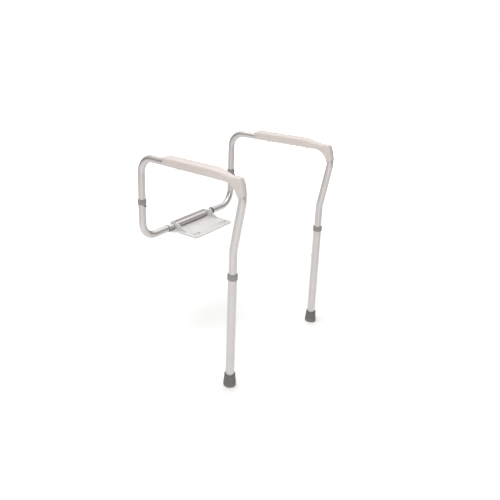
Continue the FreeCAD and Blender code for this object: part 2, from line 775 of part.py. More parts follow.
def foot_tip(name, side):
    """Flared rubber tip with a ring recess under it."""
    ground = -D.floor_down
    base = D.foot_base_wide / 2
    neck = D.foot_top_wide / 2
    bore = D.leg_tube / 2
    top = ground + D.foot_high
    profile = [(0, ground), (7, ground), (7.6, ground + 2.5), (11.4, ground + 2.5), (12, ground),
               (base, ground), (base, ground + 9), (neck, top), (bore, top),
               (bore, ground + D.foot_floor), (0, ground + D.foot_floor)]
    return turned_upright("foot_tip_" + name, D.arm_half * side, -D.leg_ahead, profile, {5: 4, 7: 1.4})


def foot_washer(name, side):
    body = new_body("foot_washer_" + name)
    under = -D.floor_down + D.foot_floor
    sketch = new_sketch(body, "XY_Plane", (D.arm_half * side, -D.leg_ahead, under))
    add_circle(sketch, 0, 0, D.leg_tube - 0.6)
    pad(body, sketch, D.washer_thick)
    return body


# ---------------------------------------------------------------- assembly

SINGLE_PARTS = (mounting_bracket, bracket_pad, crossbar, crossbar_rivets)
SIDE_PARTS = (crossbar_glide, rear_tube, rear_tube_bush, rear_collar, width_snap_clip)
ARM_PARTS = (lock_clip, lock_pin, arm_tube, arm_insert, insert_rivet, armrest, armrest_screws,
             leg_glide, front_button, front_spring, front_leg, front_collar, foot_tip, foot_washer)


def turn_out(part, side):
    """Turn a piece of an arm outward about its rear upright."""
    pivot = FreeCAD.Vector((D.arm_half * side).value, D.bar_back.value, 0)
    turn = FreeCAD.Rotation(FreeCAD.Vector(0, 0, 1), D.toe_out.value * side)
    part.Placement = FreeCAD.Placement(FreeCAD.Vector(), turn, pivot)


def build():
    parts = [make() for make in SINGLE_PARTS]
    for name, side in SIDES:
        parts += [make(name, side) for make in SIDE_PARTS]
        arm = [make(name, side) for make in ARM_PARTS]
        for part in arm:
            turn_out(part, side)
        parts += arm
    DOC.recompute()
    return parts


def check(parts):
    for item in DOC.Objects:
        if "Invalid" in item.State or "Error" in item.State:
            raise RuntimeError("%s failed to recompute" % item.Name)
    for part in parts:
        if part.Shape.isNull() or not part.Shape.isValid():
            raise RuntimeError("%s has no valid shape" % part.Label)


def export(parts):
    os.makedirs("parts", exist_ok=True)
    for part in parts:
        part.Shape.exportStep(os.path.join("parts", part.Label + ".step"))


PARTS = build()
check(PARTS)
export(PARTS)
print("%d parts" % len(PARTS))
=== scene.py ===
"""Toilet safety frame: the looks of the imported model, in metres, in the CAD model's own frame."""
import math

import bmesh
import bpy
from mathutils import Matrix, Vector


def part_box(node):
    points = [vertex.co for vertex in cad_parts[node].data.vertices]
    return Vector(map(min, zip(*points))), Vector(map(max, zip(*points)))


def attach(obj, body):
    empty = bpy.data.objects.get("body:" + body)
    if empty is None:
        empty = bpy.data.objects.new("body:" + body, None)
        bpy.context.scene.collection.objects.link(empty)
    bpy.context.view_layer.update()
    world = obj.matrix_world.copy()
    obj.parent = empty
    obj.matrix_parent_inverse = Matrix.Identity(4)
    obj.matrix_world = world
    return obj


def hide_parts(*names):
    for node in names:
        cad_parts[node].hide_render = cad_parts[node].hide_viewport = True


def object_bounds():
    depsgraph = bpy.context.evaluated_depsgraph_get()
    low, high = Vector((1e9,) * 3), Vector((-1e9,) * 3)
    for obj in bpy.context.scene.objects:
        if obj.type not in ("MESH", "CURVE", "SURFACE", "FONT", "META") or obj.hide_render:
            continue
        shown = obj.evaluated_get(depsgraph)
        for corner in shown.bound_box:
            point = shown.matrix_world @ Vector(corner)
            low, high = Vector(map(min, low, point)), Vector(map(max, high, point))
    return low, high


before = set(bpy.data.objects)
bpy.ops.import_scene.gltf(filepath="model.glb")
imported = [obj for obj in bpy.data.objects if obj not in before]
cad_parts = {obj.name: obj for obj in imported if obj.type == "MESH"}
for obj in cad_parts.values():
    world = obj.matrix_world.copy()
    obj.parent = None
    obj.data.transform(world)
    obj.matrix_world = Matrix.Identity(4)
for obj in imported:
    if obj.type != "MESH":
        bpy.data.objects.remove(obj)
CAD_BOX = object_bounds()
SIDES = ("left", "right")
MM = 0.001

# Tube facts that the CAD model shares: outer diameters, and the bend radius of the arm at its axis.
TUBE = 25.4 * MM
LEG_TUBE = 28.6 * MM
INSERT_TUBE = 21.8 * MM
BEND = 60 * MM
GRIP_PLAY = 0.05 * MM           # between a tube and the collar or foot on it

# Camera: where it stands, the way it looks and its lens.
CAMERA_AT = (-1.5571, -1.2443, 0.7999)
CAMERA_YAW = math.radians(49.70)
CAMERA_PITCH = math.radians(18.93)
CAMERA_ROLL = math.radians(0.23)
CAMERA_LENS = 40.46
CAMERA_SHIFT = (0.110, -0.100)

# Studio: the floor disc, where its paint runs into the white backdrop, and the light around.
FLOOR_RADIUS = 11
FLOOR_FADE = (0.9, 3)
FLOOR_GLOW = 0.7
WALL_GREY = 0.14
STUDIO_STRENGTH = 0.75


# ---------------------------------------------------------------- stage, camera and light

def make_camera():
    data = bpy.data.cameras.new("camera")
    data.lens = CAMERA_LENS
    data.shift_x, data.shift_y = CAMERA_SHIFT
    camera = bpy.data.objects.new("camera", data)
    bpy.context.scene.collection.objects.link(camera)
    turn = Matrix.Rotation(-CAMERA_YAW, 4, "Z") @ Matrix.Rotation(math.pi / 2 - CAMERA_PITCH, 4, "X")
    camera.matrix_world = Matrix.Translation(CAMERA_AT) @ turn @ Matrix.Rotation(CAMERA_ROLL, 4, "Z")
    bpy.context.scene.camera = camera


def aimed(at, target):
    look = (Vector(target) - Vector(at)).to_track_quat("-Z", "Y")
    return Matrix.Translation(at) @ look.to_matrix().to_4x4()


def area_light(name, at, target, size, power, colour):
    data = bpy.data.lights.new(name, "AREA")
    data.shape = "RECTANGLE"
    data.size, data.size_y = size
    data.energy = power
    data.color = colour
    light = bpy.data.objects.new(name, data)
    bpy.context.scene.collection.objects.link(light)
    light.matrix_world = aimed(at, target)


def make_lights():
    """A key beside the camera, a wide light overhead, and one for the far floor."""
    middle = (0, -0.1, 0)
    area_light("key", (-2.5, -1.7, 1.3), middle, (0.8, 1.6), 34, (1, 0.985, 0.97))
    area_light("top", (-0.3, 0.3, 2.4), middle, (1.6, 1.6), 28, (1, 0.99, 0.98))
    area_light("far", (6.6, 3.6, 4.4), (6.6, 3.7, 0), (9, 9), 240, (1, 1, 1))
    make_world()
    bpy.context.scene.view_settings.view_transform = "Standard"


def make_world():
    """A studio that is bright overhead and darker towards its walls, seen against a white backdrop."""
    world = bpy.data.worlds.new("studio")
    bpy.context.scene.world = world
    world.use_nodes = True
    nodes, links = world.node_tree.nodes, world.node_tree.links
    place = nodes.new("ShaderNodeTexCoord")
    split = nodes.new("ShaderNodeSeparateXYZ")
    links.new(place.outputs["Generated"], split.inputs["Vector"])
    ramp = nodes.new("ShaderNodeValToRGB")
    links.new(split.outputs["Z"], ramp.inputs["Fac"])
    walls, ceiling = ramp.color_ramp.elements
    walls.position, walls.color = 0.12, (WALL_GREY,) * 3 + (1,)
    ceiling.position, ceiling.color = 0.55, (1, 0.995, 0.99, 1)
    studio = nodes["Background"]
    links.new(ramp.outputs["Color"], studio.inputs["Color"])
    studio.inputs["Strength"].default_value = STUDIO_STRENGTH
    backdrop = nodes.new("ShaderNodeBackground")
    backdrop.inputs["Color"].default_value = (1, 1, 1, 1)
    seen = nodes.new("ShaderNodeLightPath")
    both = nodes.new("ShaderNodeMixShader")
    links.new(seen.outputs["Is Camera Ray"], both.inputs["Fac"])
    links.new(studio.outputs["Background"], both.inputs[1])
    links.new(backdrop.outputs["Background"], both.inputs[2])
    links.new(both.outputs["Shader"], nodes["World Output"].inputs["Surface"])


def make_floor():
    """A wide disc under the feet."""
    mesh = bpy.data.meshes.new("floor")
    shape = bmesh.new()
    bmesh.ops.create_circle(shape, cap_ends=True, segments=96, radius=FLOOR_RADIUS)
    shape.to_mesh(mesh)
    shape.free()
    floor = bpy.data.objects.new("floor", mesh)
    floor.location = (0, 0, CAD_BOX[0][2])
    bpy.context.scene.collection.objects.link(floor)
    mesh.materials.append(floor_material())


# ---------------------------------------------------------------- materials

class Recipe:
    """Short-hand for adding and joining shader nodes."""

    def __init__(self, name):
        self.material = bpy.data.materials.new(name)
        self.material.use_nodes = True
        self.nodes, self.links = self.material.node_tree.nodes, self.material.node_tree.links
        self.shader = self.nodes["Principled BSDF"]
        self.place = self.nodes.new("ShaderNodeTexCoord").outputs["Object"]

    def set(self, **values):
        """Numbers and colours that are the same all over the surface."""
        for name, value in values.items():
            self.shader.inputs[name.replace("_", " ")].default_value = value

    def stretched(self, scale):
        """The object's own coordinates with a scale for each axis."""
        node = self.nodes.new("ShaderNodeMapping")
        self.links.new(self.place, node.inputs["Vector"])
        node.inputs["Scale"].default_value = scale
        return node.outputs["Vector"]

    def noise(self, scale, detail=3, rough=0.5, place=None):
        node = self.nodes.new("ShaderNodeTexNoise")
        self.links.new(place or self.place, node.inputs["Vector"])
        node.inputs["Scale"].default_value = scale
        node.inputs["Detail"].default_value = detail
        node.inputs["Roughness"].default_value = rough
        return node.outputs["Fac"]

    def cells(self, scale):
        node = self.nodes.new("ShaderNodeTexVoronoi")
        self.links.new(self.place, node.inputs["Vector"])
        node.inputs["Scale"].default_value = scale
        return node.outputs["Distance"]

    def ramp(self, value, stops):
        node = self.nodes.new("ShaderNodeValToRGB")
        self.links.new(value, node.inputs["Fac"])
        elements = node.color_ramp.elements
        while len(elements) < len(stops):
            elements.new(0.5)
        for element, (at, colour) in zip(elements, stops):
            grey = isinstance(colour, (int, float))
            element.position = at
            element.color = ((colour,) * 3 if grey else tuple(colour)) + (1,)
        return node.outputs["Color"]

    def spread(self, value, low, high, to_low, to_high):
        """The value mapped from one range to another."""
        node = self.nodes.new("ShaderNodeMapRange")
        self.links.new(value, node.inputs["Value"])
        ends = {"From Min": low, "From Max": high, "To Min": to_low, "To Max": to_high}
        for name, number in ends.items():
            node.inputs[name].default_value = number
        return node.outputs["Result"]

    def math(self, kind, first, second):
        node = self.nodes.new("ShaderNodeMath")
        node.operation = kind
        for socket, value in zip(node.inputs, (first, second)):
            if isinstance(value, (int, float)):
                socket.default_value = value
            else:
                self.links.new(value, socket)
        return node.outputs["Value"]

    def mix(self, share, first, second):
        """A colour the given share of the way from the first to the second."""
        node = self.nodes.new("ShaderNodeMix")
        node.data_type = "RGBA"
        slots = {"Factor": share, "A": first, "B": second}
        for socket in node.inputs:
            if socket.name in slots and socket.enabled:
                value = slots[socket.name]
                if isinstance(value, (int, float)):
                    socket.default_value = value
                elif isinstance(value, tuple):
                    socket.default_value = value + (1,)
                else:
                    self.links.new(value, socket)
        return next(out for out in node.outputs if out.name == "Result" and out.enabled)

    def edges(self, radius):
        """1 on edges and corners, 0 on flat and gently curved stretches."""
        soft = self.nodes.new("ShaderNodeBevel")
        soft.samples = 4
        soft.inputs["Radius"].default_value = radius
        true = self.nodes.new("ShaderNodeNewGeometry")
        dot = self.nodes.new("ShaderNodeVectorMath")
        dot.operation = "DOT_PRODUCT"
        self.links.new(soft.outputs["Normal"], dot.inputs[0])
        self.links.new(true.outputs["Normal"], dot.inputs[1])
        return self.spread(dot.outputs["Value"], 0.75, 0.98, 1, 0)

    def bump(self, height, depth, after=None):
        node = self.nodes.new("ShaderNodeBump")
        self.links.new(height, node.inputs["Height"])
        node.inputs["Distance"].default_value = depth
        node.inputs["Strength"].default_value = 1
        if after:
            self.links.new(after, node.inputs["Normal"])
        return node.outputs["Normal"]

    def out(self, name, value):
        self.links.new(value, self.shader.inputs[name])


def floor_material():
    """Pale paint that runs into the backdrop with distance from the object."""
    paint = Recipe("floor")
    paint.set(Roughness=0.6, Emission_Color=(1, 1, 1, 1))
    far = paint.nodes.new("ShaderNodeVectorMath")
    far.operation = "LENGTH"
    paint.links.new(paint.place, far.inputs[0])
    seen = paint.nodes.new("ShaderNodeLightPath").outputs["Is Camera Ray"]
    glow = paint.spread(far.outputs["Value"], *FLOOR_FADE, 0, FLOOR_GLOW)
    paint.out("Emission Strength", paint.math("MULTIPLY", seen, glow))
    paint.out("Base Color", paint.ramp(paint.noise(0.7, 2), ((0.3, 0.925), (0.7, 0.94))))
    return paint.material


def scaled(colour, factor):
    """The colour made lighter or darker, with no channel above 1."""
    return [min(c * factor, 1) for c in colour]


def anodised(name, colour, streaks):
    """Satin anodised tube: a fine etched grain, faint drawing lines and handling marks."""
    metal = Recipe(name)
    metal.set(Metallic=0.8, IOR=1.6)
    grain = metal.noise(2600, 2, 0.6)
    lines = metal.noise(1, 3, 0.6, metal.stretched(streaks))
    marks = metal.noise(18, 4, 0.6)
    tone = metal.ramp(marks, ((0.3, scaled(colour, 0.93)), (0.72, scaled(colour, 1.04))))
    drawn = metal.math("MULTIPLY", metal.ramp(lines, ((0.3, 0.9), (0.7, 1.0))), 0.2)
    metal.out("Base Color", metal.mix(drawn, tone, tuple(scaled(colour, 1.06))))
    rough = metal.spread(marks, 0.3, 0.75, 0.27, 0.34)
    metal.out("Roughness", metal.math("ADD", rough, metal.math("MULTIPLY", grain, 0.08)))
    fine = metal.bump(grain, 0.004 * MM)
    metal.out("Normal", metal.bump(lines, 0.006 * MM, fine))
    return metal.material


def moulded(name, colour, grain_scale, grain_depth, rough, mottle, wear):
    """Injection-moulded plastic: spark-eroded grain, slight mottling and polished edges."""
    plastic = Recipe(name)
    plastic.set(IOR=1.49)
    cloud = plastic.noise(30, 4, 0.55)
    specks = plastic.cells(grain_scale)
    fine = plastic.noise(grain_scale * 1.7, 3, 0.6)
    tone = plastic.ramp(cloud, ((0.32, scaled(colour, 1 - mottle)), (0.68, scaled(colour, 1 + mottle))))
    edge = plastic.edges(0.9 * MM)
    light = tuple(min(c * 1.08 + 0.01, 1) for c in colour)
    plastic.out("Base Color", plastic.mix(plastic.math("MULTIPLY", edge, wear * 3), tone, light))
    uneven = plastic.spread(cloud, 0.3, 0.7, rough - 0.05, rough + 0.06)
    plastic.out("Roughness", plastic.math("SUBTRACT", uneven, plastic.math("MULTIPLY", edge, wear)))
    pits = plastic.bump(specks, grain_depth)
    plastic.out("Normal", plastic.bump(fine, grain_depth * 0.6, pits))
    return plastic.material


def rubber_material(name, colour, dusty_to):
    """Matt moulded rubber that has picked up dust from the floor."""
    rubber = Recipe(name)
    rubber.set(IOR=1.52)
    cloud = rubber.noise(60, 4, 0.6)
    grain = rubber.noise(1500, 3, 0.6)
    pores = rubber.cells(700)
    tone = rubber.ramp(cloud, ((0.3, scaled(colour, 0.88)), (0.7, scaled(colour, 1.12))))
    split = rubber.nodes.new("ShaderNodeSeparateXYZ")
    rubber.links.new(rubber.place, split.inputs["Vector"])
    low = CAD_BOX[0][2]
    near_floor = rubber.spread(split.outputs["Z"], low, low + dusty_to, 1, 0)
    dust = rubber.math("MULTIPLY", near_floor, rubber.spread(cloud, 0.35, 0.75, 0, 0.5))
    rubber.out("Base Color", rubber.mix(dust, tone, (0.46, 0.44, 0.42)))
    rubber.out("Roughness", rubber.spread(cloud, 0.3, 0.7, 0.58, 0.72))
    rubber.out("Normal", rubber.bump(grain, 0.02 * MM, rubber.bump(pores, 0.02 * MM)))
    return rubber.material


def powder_coat(name, colour):
    """Powder-coated sheet steel: orange peel, and a thinner bright coat along the edges."""
    coat = Recipe(name)
    coat.set(IOR=1.5, Coat_Weight=0.25, Coat_Roughness=0.2)
    peel = coat.noise(420, 2, 0.45)
    fine = coat.noise(1800, 2, 0.5)
    cloud = coat.noise(14, 3, 0.6)
    edge = coat.edges(0.7 * MM)
    tone = coat.ramp(cloud, ((0.3, scaled(colour, 0.965)), (0.7, colour)))
    coat.out("Base Color", coat.mix(coat.math("MULTIPLY", edge, 0.35), tone, (0.7, 0.7, 0.69)))
    coat.out("Roughness", coat.spread(peel, 0.3, 0.7, 0.32, 0.42))
    coat.out("Normal", coat.bump(peel, 0.05 * MM, coat.bump(fine, 0.008 * MM)))
    return coat.material


def plated(name, colour, rough):
    """Zinc-plated steel with a faint spangle and fine rubbing."""
    steel = Recipe(name)
    steel.set(Metallic=1.0)
    spangle = steel.cells(260)
    rub = steel.noise(1, 3, 0.6, steel.stretched((300, 300, 3200)))
    steel.out("Base Color", steel.ramp(spangle, ((0.0, scaled(colour, 0.84)), (1.0, scaled(colour, 1.08)))))
    steel.out("Roughness", steel.spread(rub, 0.3, 0.7, rough - 0.06, rough + 0.08))
    steel.out("Normal", steel.bump(rub, 0.006 * MM))
    return steel.material


def make_materials():
    tube = (0.60, 0.575, 0.565)
    return {
        "tube": anodised("tube_anodised", tube, streaks=(900, 900, 16)),
        "tube_across": anodised("tube_anodised_across", tube, streaks=(16, 900, 900)),
        "armrest": moulded("armrest_plastic", (0.60, 0.54, 0.515), grain_scale=1300, grain_depth=0.03 * MM,
                           rough=0.38, mottle=0.02, wear=0.06),
        "collar": moulded("collar_plastic", (0.26, 0.247, 0.24), grain_scale=1500, grain_depth=0.03 * MM,
                          rough=0.46, mottle=0.08, wear=0.1),
        "bush": moulded("bush_plastic", (0.10, 0.10, 0.10), grain_scale=1500, grain_depth=0.02 * MM,
                        rough=0.4, mottle=0.08, wear=0.1),
        "nylon": moulded("nylon", (0.82, 0.81, 0.76), grain_scale=1500, grain_depth=0.015 * MM,
                         rough=0.38, mottle=0.02, wear=0.05),
        "foot": rubber_material("foot_rubber", (0.14, 0.13, 0.124), dusty_to=14 * MM),
        "rubber": rubber_material("sheet_rubber", (0.06, 0.06, 0.06), dusty_to=1 * MM),
        "bracket": powder_coat("bracket_powder_coat", (0.58, 0.565, 0.555)),
        "steel": plated("zinc_plated", (0.62, 0.63, 0.64), rough=0.32),
    }


# ---------------------------------------------------------------- places read from the frame

def centre(node):
    low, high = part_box(node)
    return Vector([(a + b) / 2 for a, b in zip(low, high)])


def upright(node):
    """Middle, foot, top and radius of a node that is round about a vertical axis."""
    low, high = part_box(node)
    return centre(node), low[2], high[2], (high[0] - low[0]) / 2


class Arm:
    """One arm's own plane: ahead of the rear upright, across it, and up."""

    def __init__(self, side):
        self.side = side
        rear = centre("rear_collar_" + side)
        foot = centre("foot_washer_" + side)
        self.rear = Vector((rear.x, rear.y, 0))
        self.ahead = (Vector((foot.x, foot.y, 0)) - self.rear).normalized()
        self.across = Vector((self.ahead.y, -self.ahead.x, 0))
        self.rail_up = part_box("arm_tube_" + side)[1][2] - TUBE / 2
        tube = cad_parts["arm_tube_" + side].data
        front = max((v.co - self.rear).dot(self.ahead) for v in tube.vertices)
        self.bend_ahead = front - TUBE / 2 - BEND   # where the front bend starts

    def point(self, across, ahead, up):
        return self.rear + self.across * across + self.ahead * ahead + Vector((0, 0, up))


# ---------------------------------------------------------------- mesh helpers

def add_piece(name, mesh, body, material, slot, *nodes):
    piece = bpy.data.objects.new(name, mesh)
    bpy.context.scene.collection.objects.link(piece)
    mesh.materials.clear()
    mesh.materials.append(material)
    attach(piece, body)
    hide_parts(*nodes)


def smooth(mesh, angle=40):
    """Shade smooth, with sharp edges where faces meet at more than the angle in degrees."""
    mesh.polygons.foreach_set("use_smooth", [True] * len(mesh.polygons))
    mesh.set_sharp_from_angle(angle=math.radians(angle))
    mesh.update()


def shape_to_mesh(name, shape):
    bmesh.ops.recalc_face_normals(shape, faces=shape.faces)
    mesh = bpy.data.meshes.new(name)
    shape.to_mesh(mesh)
    shape.free()
    smooth(mesh)
    return mesh


def loft(shape, rings):
    """Skin closed rings of equal point count, in order, and close both ends."""
    layers = [[shape.verts.new(point) for point in ring] for ring in rings]
    count = len(layers[0])
    for lower, upper in zip(layers, layers[1:]):
        for i in range(count):
            j = (i + 1) % count
            shape.faces.new((lower[i], lower[j], upper[j], upper[i]))
    shape.faces.new(layers[0])
    shape.faces.new(layers[-1])


def lathe(shape, axis_at, profile, segments):
    """Turn closed (radius, height) points round a vertical axis."""
    rings = []
    for i in range(segments):
        angle = 2 * math.pi * i / segments
        spoke = (math.cos(angle), math.sin(angle))
        rings.append([shape.verts.new((axis_at[0] + radius * spoke[0], axis_at[1] + radius * spoke[1], up))
                      for radius, up in profile])
    count = len(profile)
    for i in range(segments):
        here, there = rings[i], rings[(i + 1) % segments]
        for k in range(count):
            m = (k + 1) % count
            shape.faces.new((here[k], there[k], there[m], here[m]))


def corners_from(radius, up, rows):
    """Corners for rounded(): rows in millimetres, outward and upward from a place, and how round."""
    return [(radius + out * MM, up + rise * MM, turn * MM) for out, rise, turn in rows]


def rounded(corners, arc_points=5):
    """Closed profile from (across, up, radius) corners, each rounded with a tangent arc."""
    points = []
    count = len(corners)
    for i, (x, y, radius) in enumerate(corners):
        here = Vector((x, y))
        if radius <= 0:
            points.append((x, y))
            continue
        back = (Vector(corners[i - 1][:2]) - here).normalized()
        ahead = (Vector(corners[(i + 1) % count][:2]) - here).normalized()
        half = back.angle(ahead) / 2
        reach = radius / math.tan(half)
        middle = here + (back + ahead).normalized() * (radius / math.sin(half))
        start = here + back * reach - middle
        end = here + ahead * reach - middle
        turn = start.angle_signed(end)
        for step in range(arc_points + 1):
            spoke = start.copy()
            spoke.rotate(Matrix.Rotation(-turn * step / arc_points, 2))
            points.append(tuple(middle + spoke))
    return points


# ---------------------------------------------------------------- armrests

REST_HALF = 21 * MM             # half width of the flat cover
REST_HIGH = 21.8 * MM           # its top above the rail's axis, before the crown
REST_SKIRT = 6 * MM             # its skirt below the rail's axis
REST_CORNER = 6.5 * MM          # round along its top edges
REST_END = 3.2 * MM             # round at its rear end
REST_LIP = 1.1 * MM             # round under its skirt
REST_CROWN = 0.05               # height of the crown, as a share of the flat's half width
RAIL_PLAY = 0.15 * MM           # between the tube and the cover's bore
SLEEVE = 14.3 * MM              # half width of the sleeve round the front bend
NOSE_TOP = 10.6 * MM            # the nose's flat top above the rail's axis
NOSE_SWELL = 27 * MM            # how fast its front leaves the sleeve, per radian squared
NOSE_FADE = math.radians(80)    # turn at which its front has faded into the sleeve
NOSE_BLEND = 6 * MM             # how softly its top meets its front
SLEEVE_BLEND = 2 * MM           # how softly it leaves the sleeve
NOSE_STANDS = 5 * MM            # height over the sleeve at which the nose has its full edge
NOSE_SKIRT = 9.5 * MM           # the sleeve's edge inside the bend, below the rail's axis
NOSE_HALF = 12.9 * MM           # half width of the nose's flat
NOSE_EDGE = 5.2 * MM            # round along the nose's edges
NOSE_TURN = math.radians(76.4)  # turn at which the nose ends
NOSE_END = 0.9 * MM             # round at its end
RAMP_LONG = 64 * MM             # narrowing from the flat cover to the sleeve
RAMP_PAST_BEND = 17 * MM        # how far the narrowing runs into the bend
CELLS = 4                       # hollows on each side of the rail
RIB_PITCH = 55 * MM
RIB_THICK = 8 * MM
CELL_ACROSS = (12.4 * MM, 18 * MM)
CELL_UP = (-9 * MM, 6.5 * MM)
FLAT_STEP = 8 * MM              # between sections where the cover stays the same
RAMP_STEP = 3 * MM              # between sections where it narrows
NOSE_STEPS = 54                 # sections round the bend
LIP_STEPS, WALL_STEPS, CORNER_STEPS, BORE_STEPS = 4, 5, 10, 24


def soft_min(a, b, blend):
    share = min(max(0.5 + 0.5 * (b - a) / blend, 0), 1)
    return b + (a - b) * share - blend * share * (1 - share)


def soft_max(a, b, blend):
    return -soft_min(-a, -b, blend)


def rest_section(base_half, top_half, high, corner, skirt, inset=0):
    """Closed section of a channel over the rail: (across, above the axis) points.

    The inset shrinks it all round, which rounds the cover's ends.
    """
    half, top = base_half - inset, high - inset
    upper = top_half - inset
    foot = -skirt + inset * 0.5
    side = []
    for step in range(LIP_STEPS + 1):
        angle = math.pi / 2 * step / LIP_STEPS
        across = half - REST_LIP + REST_LIP * math.sin(angle)
        side.append((across, foot + REST_LIP - REST_LIP * math.cos(angle)))
    rise = top - corner - foot - REST_LIP
    for step in range(1, WALL_STEPS):
        share = step / WALL_STEPS
        side.append((half + (upper - half) * share, foot + REST_LIP + rise * share))
    for step in range(CORNER_STEPS + 1):
        angle = math.pi / 2 * step / CORNER_STEPS
        side.append((upper - corner + corner * math.cos(angle), top - corner + corner * math.sin(angle)))
    crown = (upper - corner) * REST_CROWN
    flat = [(share * (upper - corner), top + crown * (1 - share * share)) for share in (0.66, 0.33)]
    outer = side + flat + [(0, top + crown)]
    outer += [(-across, up) for across, up in reversed(side + flat)]
    bore = TUBE / 2 + RAIL_PLAY
    wall = [foot + up for up in (0.3 * MM, 2 * MM, 4 * MM)]
    inner = [(-bore, up) for up in wall]
    for step in range(BORE_STEPS + 1):
        angle = math.pi * step / BORE_STEPS
        inner.append((-bore * math.cos(angle), bore * math.sin(angle)))
    inner += [(bore, up) for up in reversed(wall)]
    return outer + inner


def nose_reach(turn):
    """Outer surface of the nose at the middle, from the bend's centre, at a turn from upright."""
    sleeve = BEND + SLEEVE
    top = (BEND + NOSE_TOP) / math.cos(turn)
    front = sleeve + NOSE_SWELL * max(NOSE_FADE - turn, 0) ** 2
    return soft_max(sleeve, soft_min(top, front, NOSE_BLEND), SLEEVE_BLEND)


def nose_section(turn, inset=0):
    """Section of the sleeve round the bend, with the nose on it where the nose stands."""
    high = nose_reach(turn) - BEND
    stands = min(max((high - SLEEVE) / NOSE_STANDS, 0), 1)
    corner = (SLEEVE - 0.3 * MM) * (1 - stands) + NOSE_EDGE * stands
    top_half = SLEEVE * (1 - stands) + NOSE_HALF * stands
    return rest_section(SLEEVE, top_half, high, corner, NOSE_SKIRT, inset)


def blended(first, second, share):
    """A section the given share of the way from the first to the second."""
    return [(a[0] * (1 - share) + b[0] * share, a[1] * (1 - share) + b[1] * share)
            for a, b in zip(first, second)]


def rest_rings(arm):
    """Sections of the armrest from its rear end to the foot of its nose, and where it starts."""
    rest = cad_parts["armrest_" + arm.side].data
    start = min((v.co - arm.rear).dot(arm.ahead) for v in rest.vertices)
    ramp_end = arm.bend_ahead + RAMP_PAST_BEND
    ramp_start = ramp_end - RAMP_LONG
    flat = rest_section(REST_HALF, REST_HALF, REST_HIGH, REST_CORNER, REST_SKIRT)

    def share_of(place):
        """0 where the flat cover is, 1 where the sleeve is."""
        along = min(max((place - ramp_start) / (ramp_end - ramp_start), 0), 1)
        return 0.5 * along + 0.5 * along * along * (3 - 2 * along)

    def straight(section, place):
        return [arm.point(across, place, arm.rail_up + up) for across, up in section]

    def bent(section, turn):
        ahead, high = arm.bend_ahead, arm.rail_up - BEND
        return [arm.point(across, ahead + (BEND + up) * math.sin(turn), high + (BEND + up) * math.cos(turn))
                for across, up in section]

    rings = []
    for step in range(7):
        angle = math.pi / 2 * step / 6
        inset = REST_END * (1 - math.sin(angle))
        section = rest_section(REST_HALF, REST_HALF, REST_HIGH, REST_CORNER, REST_SKIRT, inset)
        rings.append(straight(section, start + REST_END * (1 - math.cos(angle))))
    place = start + 10 * MM
    while place < arm.bend_ahead - 1 * MM:
        share = share_of(place)
        rings.append(straight(blended(flat, nose_section(0), share), place))
        place += FLAT_STEP if share == 0 else RAMP_STEP
    for step in range(NOSE_STEPS + 1):
        turn = NOSE_TURN * step / NOSE_STEPS
        share = share_of(arm.bend_ahead + BEND * math.sin(turn))
        rings.append(bent(blended(flat, nose_section(turn), share), turn))
    for step in range(1, 5):
        angle = math.pi / 2 * step / 4
        inset = NOSE_END * (1 - math.cos(angle))
        turn = NOSE_TURN + NOSE_END * math.sin(angle) / BEND
        rings.append(bent(nose_section(NOSE_TURN, inset), turn))
    return rings, start


def cut_cells(arm, mesh, start):
    """Hollow the underside between its cross ribs, beside the rail."""
    shape = bmesh.new()
    for cell in range(CELLS):
        rear = start + RIB_THICK / 2 + RIB_PITCH * cell
        front = rear + RIB_PITCH - RIB_THICK
        for side in (-1, 1):
            near, far = [across * side for across in CELL_ACROSS]
            outline = [(near, rear), (far, rear), (far, front), (near, front)]
            low, high = [[shape.verts.new(arm.point(across, ahead, arm.rail_up + up))
                          for across, ahead in outline] for up in CELL_UP]
            shape.faces.new(low)
            shape.faces.new(high)
            for i in range(4):
                j = (i + 1) % 4
                shape.faces.new((low[i], low[j], high[j], high[i]))
    cutter = bpy.data.objects.new("cutter", shape_to_mesh("cutter", shape))
    body = bpy.data.objects.new("cut_body", mesh)
    for item in (cutter, body):
        bpy.context.scene.collection.objects.link(item)
    cut = body.modifiers.new("cells", "BOOLEAN")
    cut.operation = "DIFFERENCE"
    cut.solver = "EXACT"
    cut.object = cutter
    result = bpy.data.meshes.new_from_object(body.evaluated_get(bpy.context.evaluated_depsgraph_get()))
    for item in (cutter, body):
        bpy.data.objects.remove(item)
    return result


def make_armrest(arm, materials):
    shape = bmesh.new()
    rings, start = rest_rings(arm)
    loft(shape, rings)
    mesh = cut_cells(arm, shape_to_mesh("armrest_cover_" + arm.side, shape), start)
    smooth(mesh, 32)
    add_piece("armrest_cover_" + arm.side, mesh, "arm_" + arm.side, materials["armrest"], "armrest",
              "armrest_" + arm.side)


# ---------------------------------------------------------------- feet and collars

def densified(profile, longest=3.5 * MM):
    """The same closed profile with long straight runs divided."""
    points = []
    for here, there in zip(profile, profile[1:] + profile[:1]):
        count = max(1, math.ceil(math.dist(here, there) / longest))
        points += [tuple(a + (b - a) * i / count for a, b in zip(here, there)) for i in range(count)]
    return points


